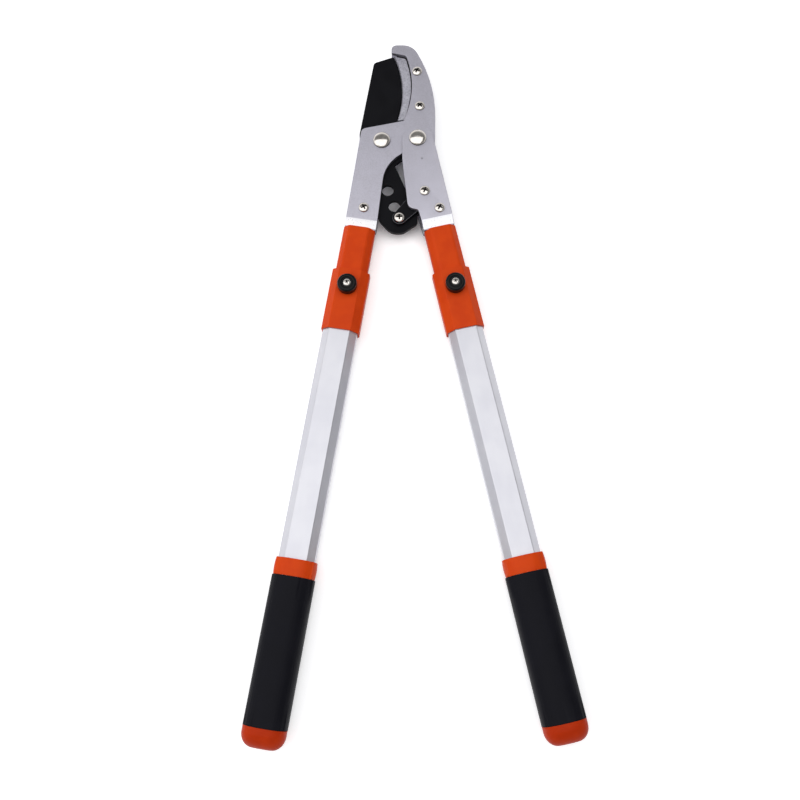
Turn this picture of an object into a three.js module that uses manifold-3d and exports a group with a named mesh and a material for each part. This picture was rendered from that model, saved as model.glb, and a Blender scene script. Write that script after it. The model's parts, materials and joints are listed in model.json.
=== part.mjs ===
// Telescopic anvil loppers with a lever link between one handle and the blade, lying flat and closed.
// Millimetres, +Z up through the thickness, +Y towards the blade's tip, +X to the right.
// The head is drawn round the two pivots, with y = 0 through both and z = 0 midway through the blade.
import * as THREE from 'three';
import { mergeVertices } from 'three/addons/utils/BufferGeometryUtils.js';
import Module from 'manifold-3d';

const wasm = await Module();
wasm.setup();

// Driving dimensions
const pivotSpacing = 35; // blade bolt to handle bolt
const bladeThickness = 4;
const plateThickness = 4; // sheet of the body, the handle arms and the link
const runningGap = 0.25; // between plates that turn over each other
const seatGap = 0.3; // between pieces that sit in or on each other
const chordError = 0.08; // how far a flat may fall short of its arc

const boltRadius = 4;
const boltHead = [8.4, 3.8]; // radius and height
const washerThickness = 1;
const boltNut = { across: 13, height: 4 };
const screwRadius = 2.5;
const screwHead = [5, 2.4]; // radius and height
const headRim = 0.22; // straight share of a head's height, under its dome
const screwNut = { across: 8, height: 3.5 };
const spacerRadius = 7;
const armSpacerRadius = 5;
const linkBushRadius = 5;
const eyeBushRadius = 4.4; // runs loose in the blade's eye, because the linkage is opened there
const eyeRadius = 5.8;
const armWidth = 30.1;
const tongueRoom = 1; // over the outer tongues, inside the inner tube
const leftDrop = 1.5; // how far the left arm's plates step in towards z = 0
const tongueWidth = 17;
const tongueLength = 36;
const tonguePinStation = 20;
const bendStart = 9.6; // above the sleeve's mouth
const bendEnd = 1.6;

const tubeWidth = 32;
const tubeDepth = 22;
const tubeFace = 19.3; // flat front of the eight-sided section
const tubeSide = 9; // flat side of the same section
const tubeWall = 1.5;
const slideGap = 0.5; // inner tube in outer tube
const sleeveLength = 44.4;
const sleeveInset = 0.9; // the sleeve is a little slimmer than the tube
const sleeveEnd = 2.6; // thickness of the sleeve's slotted end
const collarLength = 59.7;
const collarWall = 1.65;
const collarLip = 2.6;
const innerTubeLength = 388;
const glideLength = 6; // of the glide that shows past the inner tube's end
const glidePlug = 8;
const lockPitch = 70; // between lock positions
const lockStops = 5;
const gripStart = 330.4; // all lengths down a handle count from the sleeve's mouth
const gripLength = 123.5;
const gripSideWall = 2.85; // outer tube to the grip's side
const gripFaceWall = 5.5; // outer tube to the grip's front
const gripRound = 13;
const ringLength = 15;
const ringInset = 0.3;
const capLength = 17.5;
const capRound = [11, 10]; // how far the cap's end is rounded, along and across
const plugLength = 14;

const knobRadius = 9.1;
const knobHeight = 8.5;
const knobLift = 0.55; // between the collar and the knob's skirt
const knobWall = 1.6;
const knobDish = 1;
const knobChamfer = 1.2;
const knobRim = 1.2; // flat round the dish
const knobStation = 62;
const bossRadius = 6.7;
const bossWall = 1.2;
const pinRadius = 2.4;
const pinFlangeRadius = 4.2;
const pinFlangeThickness = 1;
const springWire = 0.25;
const springTurns = 3;
const knobScrewRadius = 1.5;
const knobScrewHeadRadius = 3.4;
const knobScrewHeadHeight = 1.5;
const knobScrewSeat = 3.5; // solid end of the lock pin, under its screw

const anvilBottom = 25;
const bladeHeel = { clearance: 0.8, from: -63, below: 1.6 }; // clear of the spacer, ends below the anvil
const bladeTipHeight = 96.2; // end of the cutting edge
const edgeRadius = 104.7; // arc of the anvil's edge
const edgeAngles = { top: 23, bottom: -17.6 }; // where that arc ends
const edgeGap = 0.9; // blade edge to anvil edge
const toothPitch = 1.9;
const toothDepth = 1;

// Heights of the layers above the middle plane
const bladeTop = bladeThickness / 2;
const bodyLow = bladeTop + runningGap;
const bodyTop = bodyLow + plateThickness;
const handleLow = bodyTop + runningGap;
const handleTop = handleLow + plateThickness;
const collarTop = tubeDepth / 2 + collarWall;
const knobLow = collarTop + knobLift;
const knobTop = knobLow + knobHeight;
const dishFloor = knobTop - knobDish;
const cavityTop = dishFloor - knobWall;
const bossTop = cavityTop - seatGap;
const lockAt = [0, -knobStation]; // the knob's axis in its own handle's frame

const gripWidth = tubeWidth + 2 * gripSideWall;
const gripDepth = tubeDepth + 2 * gripFaceWall;
const tubeInside = tubeDepth / 2 - 2 * tubeWall - slideGap; // half the inner tube's hollow

// Places in the head
const bladePivot = [-pivotSpacing / 2, 0];
const handlePivot = [pivotSpacing / 2, 0];
const fromBlade = (dx, dy, round) => [bladePivot[0] + dx, bladePivot[1] + dy, round];
const fromPivot = (dx, dy, round) => [handlePivot[0] + dx, handlePivot[1] + dy, round];
const linkPivot = fromPivot(6.7, -56.7);
const linkEye = fromBlade(17.5, -82.5);
const edgeCentre = fromPivot(-120, 55.5);
const anvilScrews = { upper: fromPivot(-0.5, 76.8), lower: fromPivot(2.1, 37.6) };

const rightDrop = handleTop - tubeInside + tongueRoom;
// Each handle runs down from its sleeve's mouth, and armShift is how far its arm sits across from the tube's
// centre line. drop is how far its arm plates step in towards z = 0.
const handles = {
  left: {
    mouth: fromBlade(-20.3, -93.2), lean: -9.05, low: bodyLow, drop: leftDrop,
    armShift: 0.4, screw: [-21.6, 0.4],
  },
  right: {
    mouth: fromPivot(21, -93.1), lean: 12.65, low: handleLow, drop: rightDrop,
    armShift: -0.7, screw: [-18.3, 3.9],
  },
};
for (const handle of Object.values(handles)) {
  const lean = THREE.MathUtils.degToRad(handle.lean);
  handle.down = [Math.sin(lean), -Math.cos(lean)];
  handle.across = [Math.cos(lean), Math.sin(lean)];
  handle.screwAt = along(handle, ...handle.screw);
  handle.pinAt = along(handle, tonguePinStation, 0);
  handle.tongueLow = handle.low - handle.drop;
  handle.tongueTop = handle.tongueLow + plateThickness;
}

// Colours and finishes
const steel = { color: 0xb0aeb9, metalness: 0.8, roughness: 0.45 };
const blackened = { color: 0x18181b, metalness: 0.3, roughness: 0.5 };
const nickel = { color: 0xd8d4cf, metalness: 1, roughness: 0.2 };
const aluminium = { color: 0xe2e2e6, metalness: 0.9, roughness: 0.35 };
const orangePlastic = { color: 0xcc431b, metalness: 0, roughness: 0.45 };
const blackPlastic = { color: 0x1a1a20, metalness: 0, roughness: 0.55 };
const blackRubber = { color: 0x1a1a20, metalness: 0, roughness: 0.85 };

// A point down a handle by s and across it by u
function along(handle, s, u, round) {
  return [
    handle.mouth[0] + s * handle.down[0] + u * handle.across[0],
    handle.mouth[1] + s * handle.down[1] + u * handle.across[1],
    round,
  ];
}

function arcSteps(radius, angle) {
  return Math.max(1, Math.ceil(Math.abs(angle) / (2 * Math.acos(1 - chordError / radius))));
}

function arc(centre, radius, from, to) {
  const steps = arcSteps(radius, to - from);
  return Array.from({ length: steps + 1 }, (_, i) => {
    const angle = from + ((to - from) * i) / steps;
    return [centre[0] + radius * Math.cos(angle), centre[1] + radius * Math.sin(angle)];
  });
}

// A closed outline from corners [x, y, radius], each corner rounded by its radius
function outline(corners) {
  const points = corners.flatMap(([x, y, radius = 0], i) => {
    const corner = new THREE.Vector2(x, y);
    if (radius === 0) return [corner];
    const back = new THREE.Vector2(...corners.at(i - 1)).sub(corner).normalize();
    const on = new THREE.Vector2(...corners[(i + 1) % corners.length]).sub(corner).normalize();
    const half = Math.acos(back.dot(on)) / 2;
    const centre = back.clone().add(on).normalize().multiplyScalar(radius / Math.sin(half)).add(corner);
    const start = back.multiplyScalar(radius / Math.tan(half)).add(corner).sub(centre).angle();
    const end = on.multiplyScalar(radius / Math.tan(half)).add(corner).sub(centre).angle();
    const turn = ((end - start + 3 * Math.PI) % (2 * Math.PI)) - Math.PI;
    return arc([centre.x, centre.y], radius, start, start + turn).map((p) => new THREE.Vector2(...p));
  });
  return new THREE.Shape(points);
}

function circle([x, y], radius) {
  return outline(arc([x, y], radius, 0, 2 * Math.PI).slice(0, -1));
}

// Two round ends joined by their tangents
function strap(a, radiusA, b, radiusB) {
  const heading = Math.atan2(b[1] - a[1], b[0] - a[0]);
  const half = Math.acos((radiusA - radiusB) / Math.hypot(b[0] - a[0], b[1] - a[1]));
  return outline([
    ...arc(a, radiusA, heading + half, heading + 2 * Math.PI - half),
    ...arc(b, radiusB, heading - half, heading + half),
  ]);
}

// The tubes' eight-sided section, moved inward all round by inset
function facets(inset) {
  const [x, y] = [tubeWidth / 2, tubeDepth / 2];
  const slope = new THREE.Vector2(y - tubeSide / 2, x - tubeFace / 2).normalize();
  const reach = slope.x * x + (slope.y * tubeSide) / 2 - inset;
  const face = (reach - slope.y * (y - inset)) / slope.x;
  const side = (reach - slope.x * (x - inset)) / slope.y;
  const quarter = [[x - inset, side], [face, y - inset]];
  const half = [...quarter, ...quarter.map(([a, b]) => [-a, b]).reverse()];
  return outline([...half, ...half.map(([a, b]) => [-a, -b])]);
}

function softSection(inset) {
  const [x, y, round] = [gripWidth / 2 - inset, gripDepth / 2 - inset, gripRound - inset];
  return outline([[x, y, round], [-x, y, round], [-x, -y, round], [x, -y, round]]);
}

function box(width, depth) {
  const [x, y] = [width / 2, depth / 2];
  return outline([[x, y], [-x, y], [-x, -y], [x, -y]]);
}

function extruded(shape, low, high) {
  return new THREE.ExtrudeGeometry(shape, { depth: high - low, bevelEnabled: false }).translate(0, 0, low);
}

// A section extruded down a handle, from one length below the mouth to another
function drawn(section, from, to) {
  return extruded(section, from, to).rotateX(Math.PI / 2);
}

// A profile of [radius, z] turned about a vertical axis
function turned(profile, [x, y] = [0, 0]) {
  const steps = arcSteps(Math.max(...profile.map(([radius]) => radius)), 2 * Math.PI);
  const points = profile.map(([radius, z]) => new THREE.Vector2(radius, z));
  return new THREE.LatheGeometry(points, steps).rotateX(Math.PI / 2).translate(x, y, 0);
}

function cylinder(radius, low, high, at) {
  return turned([[0, low], [radius, low], [radius, high], [0, high]], at);
}

function solid(geometry) {
  if (!geometry.isBufferGeometry) return geometry;
  const bare = geometry.clone();
  bare.deleteAttribute('normal');
  bare.deleteAttribute('uv');
  const merged = mergeVertices(bare, 1e-4);
  return new wasm.Manifold(new wasm.Mesh({
    numProp: 3,
    vertProperties: Float32Array.from(merged.attributes.position.array),
    triVerts: Uint32Array.from(merged.index.array),
  }));
}

function cut(from, ...tools) {
  return tools.reduce((left, tool) => left.subtract(solid(tool)), solid(from));
}

function mesh(name, shape, finish) {
  let geometry = shape;
  if (!shape.isBufferGeometry) {
    const { vertProperties, triVerts } = shape.getMesh();
    geometry = new THREE.BufferGeometry();
    geometry.setAttribute('position', new THREE.BufferAttribute(vertProperties, 3));
    geometry.setIndex(new THREE.BufferAttribute(triVerts, 1));
  }
  const made = new THREE.Mesh(geometry, new THREE.MeshStandardMaterial(finish));
  made.name = name;
  return made;
}

const loppers = new THREE.Group();

// Sheet that lies flat over the head and steps in towards z = 0 just above a handle's sleeve.
// facing is 1 for the front plate and -1 for the rear one.
function steppedSheet({ mouth, down, low, drop }, facing) {
  const far = 250;
  const top = low + plateThickness;
  const side = outline([
    [-far, low], [-bendStart, low], [-bendEnd, low - drop], [far, low - drop],
    [far, top - drop], [-bendEnd, top - drop], [-bendStart, top], [-far, top],
  ].map(([s, z]) => [s, z * facing]));
  const sheet = extruded(side, -far, far);
  const axes = [[...down, 0], [0, 0, 1], [down[1], -down[0], 0]].map((axis) => new THREE.Vector3(...axis));
  return sheet.applyMatrix4(new THREE.Matrix4().makeBasis(...axes).setPosition(mouth[0], mouth[1], 0));
}

// The arm's lower end: full width down to the sleeve, then a tongue that goes inside it
function armEnd(handle) {
  const shoulder = -seatGap;
  return [
    along(handle, -bendStart, handle.armShift - armWidth / 2),
    along(handle, shoulder, handle.armShift - armWidth / 2, 1),
    along(handle, shoulder, -tongueWidth / 2),
    along(handle, tongueLength, -tongueWidth / 2, 2),
    along(handle, tongueLength, tongueWidth / 2, 2),
    along(handle, shoulder, tongueWidth / 2),
    along(handle, shoulder, handle.armShift + armWidth / 2, 1),
    along(handle, -bendStart, handle.armShift + armWidth / 2),
  ];
}

function plate(shape, handle, facing, holes) {
  const tall = 2 * handleTop;
  const pinHole = [handle.pinAt, screwRadius + seatGap];
  const tools = [...holes, pinHole].map(([at, radius]) => cylinder(radius, -tall, tall, at));
  return cut(solid(steppedSheet(handle, facing)).intersect(solid(extruded(shape, -tall, tall))), ...tools);
}

// Screw with a low domed head: the head sits on `seat`, and the shank ends just below its nut
function screw(name, at, seat, radius = screwRadius, head = screwHead, below = screwNut.height) {
  const end = -seat - below - seatGap;
  const [headRadius, headHeight] = head;
  const dome = [0, 0.45, 0.75, 0.93].map((share) => [
    headRadius * share,
    seat + headHeight * (headRim + (1 - headRim) * Math.sqrt(1 - share * share)),
  ]);
  return mesh(name, turned([[0, end], [radius, end], [radius, seat], [headRadius, seat],
    [headRadius, seat + headHeight * headRim], ...dome.reverse()], at), nickel);
}

function nut(name, at, top, { across, height }, threadRadius) {
  const corner = across / Math.sqrt(3);
  const hexagon = outline(Array.from({ length: 6 }, (_, i) => [
    at[0] + corner * Math.cos((i * Math.PI) / 3),
    at[1] + corner * Math.sin((i * Math.PI) / 3),
  ]));
  hexagon.holes.push(circle(at, threadRadius + runningGap));
  return mesh(name, extruded(hexagon, top - height, top), nickel);
}

function ring(name, at, radius, bore, low, high, finish) {
  const profile = [[bore, low], [radius, low], [radius, high], [bore, high], [bore, low]];
  return mesh(name, turned(profile, at), finish);
}

const boltHole = boltRadius + runningGap;
const screwHole = screwRadius + runningGap;

// Body: the left arm and the hooked jaw in one plate, front and rear
function bodyPlates() {
  const { left } = handles;
  const shape = outline([
    ...armEnd(left),
    fromBlade(4.9, -10, 36),
    fromPivot(17, -10, 12),
    fromPivot(17.6, 63, 150),
    fromPivot(-5, 107, 16),
    fromPivot(-26.2, 107, 5),
    fromPivot(-26.2, 98.2, 1.5),
    fromPivot(-11.2, 94.8, 4),
    fromPivot(-0.3, 55.9, 100),
    fromPivot(-13.8, 21.2, 1),
    fromBlade(-19.7, 12.8, 5),
    fromBlade(-21.3, 2.7),
  ]);
  const holes = [
    [bladePivot, boltHole], [handlePivot, boltHole], [left.screwAt, screwHole],
    [anvilScrews.upper, screwHole], [anvilScrews.lower, screwHole],
  ];
  loppers.add(
    mesh('body_plate_front', plate(shape, left, 1, holes), steel),
    mesh('body_plate_rear', plate(shape, left, -1, holes), steel),
  );
}

// Anvil: a plate clamped in the jaw, whose curved edge is toothed
function anvil() {
  const [top, bottom] = [edgeAngles.top, edgeAngles.bottom].map(THREE.MathUtils.degToRad);
  const teeth = Math.round((edgeRadius * (top - bottom)) / toothPitch);
  const edge = Array.from({ length: 2 * teeth + 1 }, (_, i) => {
    const angle = top + ((bottom - top) * i) / (2 * teeth);
    const radius = edgeRadius + (i % 2 ? toothDepth : 0);
    return [edgeCentre[0] + radius * Math.cos(angle), edgeCentre[1] + radius * Math.sin(angle)];
  });
  const shape = outline([
    ...edge,
    fromPivot(-12, anvilBottom),
    fromPivot(12, anvilBottom, 3),
    fromPivot(15, 61, 105),
    fromPivot(-7, 103.5, 12),
  ]);
  const holes = Object.values(anvilScrews).map((at) => cylinder(screwHole, -bodyLow - 1, bodyLow + 1, at));
  loppers.add(mesh('anvil', cut(extruded(shape, -bodyLow, bodyLow), ...holes), steel));
  for (const [place, at] of Object.entries(anvilScrews)) {
    loppers.add(
      screw(`anvil_screw_${place}`, at, bodyTop),
      nut(`anvil_nut_${place}`, at, -bodyTop, screwNut, screwRadius),
    );
  }
}

// Blade and its tang in one plate, with two spare link holes and the link's eye
function blade() {
  const radius = edgeRadius - edgeGap;
  const heelRadius = pivotSpacing - spacerRadius - bladeHeel.clearance;
  const heelTop = anvilBottom - bladeHeel.below;
  const heelFrom = THREE.MathUtils.degToRad(bladeHeel.from);
  const heel = arc(bladePivot, heelRadius, heelFrom, Math.asin(heelTop / heelRadius));
  const low = Math.asin((heelTop - edgeCentre[1]) / radius);
  const high = Math.asin((bladeTipHeight - edgeCentre[1]) / radius);
  const shape = outline([
    ...heel.slice(0, -1),
    ...arc(edgeCentre, radius, low, high),
    fromBlade(-8.8, 89.4, 4),
    fromBlade(-22.2, 8, 14),
    fromBlade(-16, -32, 30),
    fromBlade(-1.5, -84.1, 8),
    fromBlade(9.7, -97, 13.5),
    fromBlade(21.3, -96.3, 8),
    fromBlade(35, -86.3, 4),
    fromBlade(34, -75.6, 4),
  ]);
  const spareHoles = [fromBlade(6.2, -51.7), fromBlade(12.6, -68.5)];
  const linkHoles = [linkEye, ...spareHoles].map((at) => circle(at, eyeRadius));
  shape.holes.push(circle(bladePivot, boltHole), ...linkHoles);
  loppers.add(mesh('blade', extruded(shape, -bladeTop, bladeTop), blackened));
}

// Bolts that the blade and the right handle turn on
function pivotBolts() {
  const pivots = { blade: [bladePivot, bodyTop], handle: [handlePivot, handleTop] };
  for (const [name, [at, seat]] of Object.entries(pivots)) {
    const nutTop = -seat - washerThickness;
    loppers.add(
      screw(`${name}_bolt`, at, seat, boltRadius, boltHead, washerThickness + boltNut.height),
      ring(`${name}_washer`, at, boltHead[0], boltHole, nutTop, -seat, nickel),
      nut(`${name}_nut`, at, nutTop, boltNut, boltRadius),
    );
  }
  loppers.add(ring('pivot_spacer', handlePivot, spacerRadius, boltHole, -bodyLow, bodyLow, steel));
}

// Right handle's arm, front and rear, stepped round the link's screw
function handlePlates() {
  const { right } = handles;
  const shape = outline([
    ...armEnd(right),
    fromPivot(12.8, 12.4, 13),
    fromPivot(-15.2, 12.4, 14),
    fromPivot(-14.8, -24, 60),
    fromPivot(-9.2, -74.5, 7),
    fromPivot(0.5, -75.9, 3),
  ]);
  const holes = [[handlePivot, boltHole], [linkPivot, screwHole], [right.screwAt, screwHole]];
  loppers.add(
    mesh('handle_plate_front', plate(shape, right, 1, holes), steel),
    mesh('handle_plate_rear', plate(shape, right, -1, holes), steel),
  );
}

// Link: two cheeks outside the tang, from the handle's arm to the blade's eye
function link() {
  const [eyeEnd, pivotEnd] = [6.6, 9.5];
  const cheek = strap(linkEye, eyeEnd, linkPivot, pivotEnd);
  cheek.holes.push(circle(linkEye, screwHole), circle(linkPivot, linkBushRadius + runningGap));
    loppers.add(
    mesh('link_front', extruded(cheek, bodyLow, bodyTop), blackened),
    mesh('link_rear', extruded(cheek, -bodyTop, -bodyLow), blackened),
    screw('link_screw', linkEye, bodyTop),
    nut('link_nut', linkEye, -bodyTop, screwNut, screwRadius),
    ring('link_bush', linkEye, eyeBushRadius, screwHole, -bodyLow, bodyLow, steel),
    screw('link_pivot_screw', linkPivot, handleTop),
    nut('link_pivot_nut', linkPivot, -handleTop, screwNut, screwRadius),
    ring('link_pivot_bush', linkPivot, linkBushRadius, screwHole, -handleLow, handleLow, steel),
  );
}

// Screw and spacer that hold an arm's two plates together
function armScrew(side, { screwAt, low }) {
  const top = low + plateThickness;
  loppers.add(
    screw(`arm_screw_${side}`, screwAt, top),
    nut(`arm_nut_${side}`, screwAt, -top, screwNut, screwRadius),
    ring(`arm_spacer_${side}`, screwAt, armSpacerRadius, screwHole, -low, low, steel),
  );
}

// Inner tube, pinned round the arm's tongues, with the sleeve that covers the joint
function fixedTube(side, { tongueLow, tongueTop }) {
  const start = sleeveEnd + seatGap;
  const end = start + innerTubeLength;
  const outside = tubeWall + slideGap;
  const inside = outside + tubeWall;
  const coreDepth = 2 * (tongueLow - seatGap / 2);
  const pinAt = [0, -tonguePinStation];
  const pinTop = tubeDepth / 2 - outside;
  const lockHoles = Array.from({ length: lockStops }, (_, i) => (
    cylinder(pinRadius + seatGap, 0, tubeDepth, [0, -knobStation - i * lockPitch])));
  const pinHole = (depth) => cylinder(screwRadius + seatGap, -depth, depth, pinAt);
  const slot = box(tongueWidth + 2 * seatGap, 2 * (tongueTop + seatGap));
  return [
    mesh(`inner_tube_${side}`, cut(drawn(facets(outside), start, end),
      drawn(facets(inside), start - 1, end + 1), pinHole(tubeDepth), ...lockHoles), aluminium),
    mesh(`tongue_core_${side}`, cut(drawn(box(tongueWidth, coreDepth), 1, tongueLength),
      pinHole(tubeDepth)), blackPlastic),
    mesh(`tongue_pin_${side}`, cylinder(screwRadius, -pinTop, pinTop, pinAt), steel),
    mesh(`tube_glide_${side}`, solid(drawn(facets(tubeWall + slideGap / 2), end + seatGap, end + glideLength))
      .add(solid(drawn(facets(inside + seatGap), end - glidePlug, end + 1))), blackPlastic),
    mesh(`sleeve_${side}`, cut(drawn(facets(sleeveInset), 0, sleeveLength),
      drawn(facets(outside - seatGap), sleeveEnd, sleeveLength + 1),
      drawn(slot, -1, sleeveEnd + 1)), orangePlastic),
  ];
}

// Outer tube with its collar, grip and end cap, which slides down the inner tube
function slidingTube(side) {
  const collarStart = sleeveLength + seatGap;
  const collarEnd = collarStart + collarLength;
  const tubeStart = collarStart + collarLip + seatGap;
  const gripEnd = gripStart + gripLength;
  const boss = cylinder(bossRadius, tubeDepth / 2 + 1, bossTop, lockAt);
  const bossBore = cylinder(pinFlangeRadius + seatGap, 0, bossTop - bossWall, lockAt);
  const pinBore = cylinder(pinRadius + seatGap, 0, 2 * collarTop, lockAt);
  const overTube = facets(-seatGap);
  const capShape = new THREE.ExtrudeGeometry(softSection(0), {
    depth: capLength, bevelThickness: capRound[0], bevelSize: capRound[1], bevelOffset: -capRound[1],
    bevelSegments: 4,
  }).rotateX(Math.PI / 2).translate(0, capRound[0] - gripEnd, 0);
  const cap = cut(capShape, drawn(box(2 * gripWidth, 2 * gripDepth), gripStart, gripEnd + seatGap))
    .add(solid(drawn(facets(tubeWall + seatGap), gripEnd - plugLength, gripEnd + 1)));
  return [
    mesh(`outer_tube_${side}`, cut(drawn(facets(0), tubeStart, gripEnd),
      drawn(facets(tubeWall), tubeStart - 1, gripEnd + 1), pinBore), aluminium),
    mesh(`collar_${side}`, cut(solid(drawn(facets(-collarWall), collarStart, collarEnd)).add(solid(boss)),
      drawn(facets(tubeWall + slideGap - seatGap), collarStart - 1, collarEnd),
      drawn(overTube, collarStart + collarLip, collarEnd + 1), bossBore, pinBore), orangePlastic),
    mesh(`grip_ring_${side}`, cut(drawn(softSection(ringInset), gripStart - ringLength, gripStart - seatGap),
      drawn(overTube, gripStart - ringLength - 1, gripStart + 1)), orangePlastic),
    mesh(`grip_${side}`, cut(drawn(softSection(0), gripStart, gripEnd),
      drawn(overTube, gripStart - 1, gripEnd + 1)), blackRubber),
    mesh(`end_cap_${side}`, cap, orangePlastic),
  ];
}

// Pull knob over the collar's boss, with its pin, return spring and screw
function lock(side) {
  const pinLow = tubeDepth / 2 - tubeWall - slideGap + seatGap;
  const flangeLow = tubeDepth / 2 + seatGap;
  const flangeTop = flangeLow + pinFlangeThickness;
  const pinTop = cavityTop - seatGap / 2;
  const springTop = bossTop - bossWall - seatGap;
  const springLow = flangeTop + seatGap;
  const screwBore = knobScrewRadius + seatGap / 2;
  const screwEnd = pinLow + knobScrewSeat + seatGap;
  const coil = new THREE.Curve();
  const coilRadius = (pinRadius + pinFlangeRadius) / 2 + springWire / 2;
  coil.getPoint = (share, target = new THREE.Vector3()) => {
    const angle = share * springTurns * 2 * Math.PI;
    const height = springLow + springWire + share * (springTop - springLow - 2 * springWire);
    return target.set(coilRadius * Math.cos(angle), coilRadius * Math.sin(angle) + lockAt[1], height);
  };
  const wire = outline(arc([0, 0], springWire, 0, 2 * Math.PI).slice(0, -1));
  const spring = new THREE.ExtrudeGeometry(wire, { extrudePath: coil, steps: 30, bevelEnabled: false });
  return [
    mesh(`knob_${side}`, turned([
      [bossRadius + seatGap, knobLow], [knobRadius - knobChamfer / 2, knobLow],
      [knobRadius, knobLow + knobChamfer / 2], [knobRadius, knobTop - knobChamfer],
      [knobRadius - knobChamfer, knobTop], [knobRadius - knobChamfer - knobRim, knobTop],
      [knobRadius - knobChamfer - knobRim - knobDish, dishFloor], [screwBore, dishFloor],
      [screwBore, cavityTop], [bossRadius + seatGap, cavityTop], [bossRadius + seatGap, knobLow],
    ], lockAt), blackPlastic),
    mesh(`knob_screw_${side}`, turned([
      [0, screwEnd], [knobScrewRadius, screwEnd], [knobScrewRadius, dishFloor],
      [knobScrewHeadRadius, dishFloor], [knobScrewHeadRadius, dishFloor + 0.6],
      [knobScrewHeadRadius * 0.7, dishFloor + knobScrewHeadHeight * 0.85],
      [0, dishFloor + knobScrewHeadHeight],
    ], lockAt), nickel),
    mesh(`lock_pin_${side}`, turned([
      [0, pinLow], [pinRadius, pinLow], [pinRadius, flangeLow], [pinFlangeRadius, flangeLow],
      [pinFlangeRadius, flangeTop], [pinRadius, flangeTop], [pinRadius, pinTop], [screwBore, pinTop],
      [screwBore, pinLow + knobScrewSeat], [0, pinLow + knobScrewSeat],
    ], lockAt), steel),
    mesh(`lock_spring_${side}`, spring, steel),
  ];
}

bodyPlates();
anvil();
blade();
pivotBolts();
handlePlates();
link();
for (const [side, handle] of Object.entries(handles)) {
  armScrew(side, handle);
  const tube = new THREE.Group();
  tube.position.set(handle.mouth[0], handle.mouth[1], 0);
  tube.rotation.z = THREE.MathUtils.degToRad(handle.lean);
  tube.add(...fixedTube(side, handle), ...slidingTube(side), ...lock(side));
  loppers.add(tube);
}

// The origin is under the middle of the whole, on the surface that it lies on
loppers.updateMatrixWorld(true);
const bounds = new THREE.Box3().setFromObject(loppers, true);
loppers.position.set(-(bounds.min.x + bounds.max.x) / 2, -(bounds.min.y + bounds.max.y) / 2, -bounds.min.z);

export default loppers;
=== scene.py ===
import json
import math

import bmesh
import bpy
from mathutils import Matrix, Vector
from mathutils.kdtree import KDTree


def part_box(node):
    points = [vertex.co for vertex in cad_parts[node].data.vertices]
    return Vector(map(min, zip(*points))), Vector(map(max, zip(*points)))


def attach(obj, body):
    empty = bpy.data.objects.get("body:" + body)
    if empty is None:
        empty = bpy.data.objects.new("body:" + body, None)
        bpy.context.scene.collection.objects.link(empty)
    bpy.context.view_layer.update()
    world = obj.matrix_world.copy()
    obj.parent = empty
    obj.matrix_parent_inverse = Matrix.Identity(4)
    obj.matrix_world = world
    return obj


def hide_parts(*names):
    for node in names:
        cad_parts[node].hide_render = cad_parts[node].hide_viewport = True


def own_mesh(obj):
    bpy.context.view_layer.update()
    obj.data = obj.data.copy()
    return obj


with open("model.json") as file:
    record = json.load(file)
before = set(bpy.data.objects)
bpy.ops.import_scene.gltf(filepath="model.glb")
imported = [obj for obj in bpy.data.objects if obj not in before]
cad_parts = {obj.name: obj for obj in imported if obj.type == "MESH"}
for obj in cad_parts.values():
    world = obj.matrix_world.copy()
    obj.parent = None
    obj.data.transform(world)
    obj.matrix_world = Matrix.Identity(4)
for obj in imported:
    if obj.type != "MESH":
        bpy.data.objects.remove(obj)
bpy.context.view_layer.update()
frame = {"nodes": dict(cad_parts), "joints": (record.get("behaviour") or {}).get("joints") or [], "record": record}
nodes = frame["nodes"]
bodies = frame["record"]["behaviour"]["bodies"]
bodyOfNode = {name: body for body, names in bodies.items() for name in names}
sides = ("left", "right")
mm = 0.001
print("frame loaded:", len(nodes), "nodes")


def toLinear(hexColour):
    channels = [int(hexColour[i:i + 2], 16) / 255 for i in (1, 3, 5)]
    return [c / 12.92 if c <= 0.04045 else ((c + 0.055) / 1.055) ** 2.4 for c in channels] + [1.0]


def addNode(tree, kind, settings=None, links=None):
    node = tree.nodes.new(kind)
    for key, value in (settings or {}).items():
        if hasattr(node, key) and key not in node.inputs:
            setattr(node, key, value)
        else:
            node.inputs[key].default_value = value
    for key, socket in (links or {}).items():
        tree.links.new(socket, node.inputs[key])
    return node


def startMaterial(name, look):
    # the shader's constants sit on its own sockets
    material = bpy.data.materials.new(name)
    material.use_nodes = True
    material.diffuse_color = toLinear(look["colour"])
    tree = material.node_tree
    shader = tree.nodes["Principled BSDF"]
    shader.inputs["Base Color"].default_value = toLinear(look["colour"])
    shader.inputs["Metallic"].default_value = look.get("metallic", 0)
    shader.inputs["Roughness"].default_value = look["roughness"]
    if "specular" in look:
        shader.inputs["Specular IOR Level"].default_value = look["specular"]
    return material, tree, shader


def grain(tree, place, size, detail=2.0, rough=0.5):
    # noise whose lumps are about `size` across, in metres
    settings = {"Scale": 1 / size, "Detail": detail, "Roughness": rough}
    return addNode(tree, "ShaderNodeTexNoise", settings, {"Vector": place}).outputs["Fac"]


def spread(tree, source, low, high):
    # noise mostly lies between 0.3 and 0.7, which is stretched over the range asked for
    settings = {"From Min": 0.3, "From Max": 0.7, "To Min": low, "To Max": high}
    return addNode(tree, "ShaderNodeMapRange", settings, {"Value": source}).outputs["Result"]


def tint(tree, source, first, second, start=0.4, end=0.6):
    ramp = addNode(tree, "ShaderNodeValToRGB", links={"Fac": source})
    ramp.color_ramp.elements[0].position = start
    ramp.color_ramp.elements[0].color = toLinear(first)
    ramp.color_ramp.elements[1].position = end
    ramp.color_ramp.elements[1].color = toLinear(second)
    return ramp.outputs["Color"]


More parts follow.
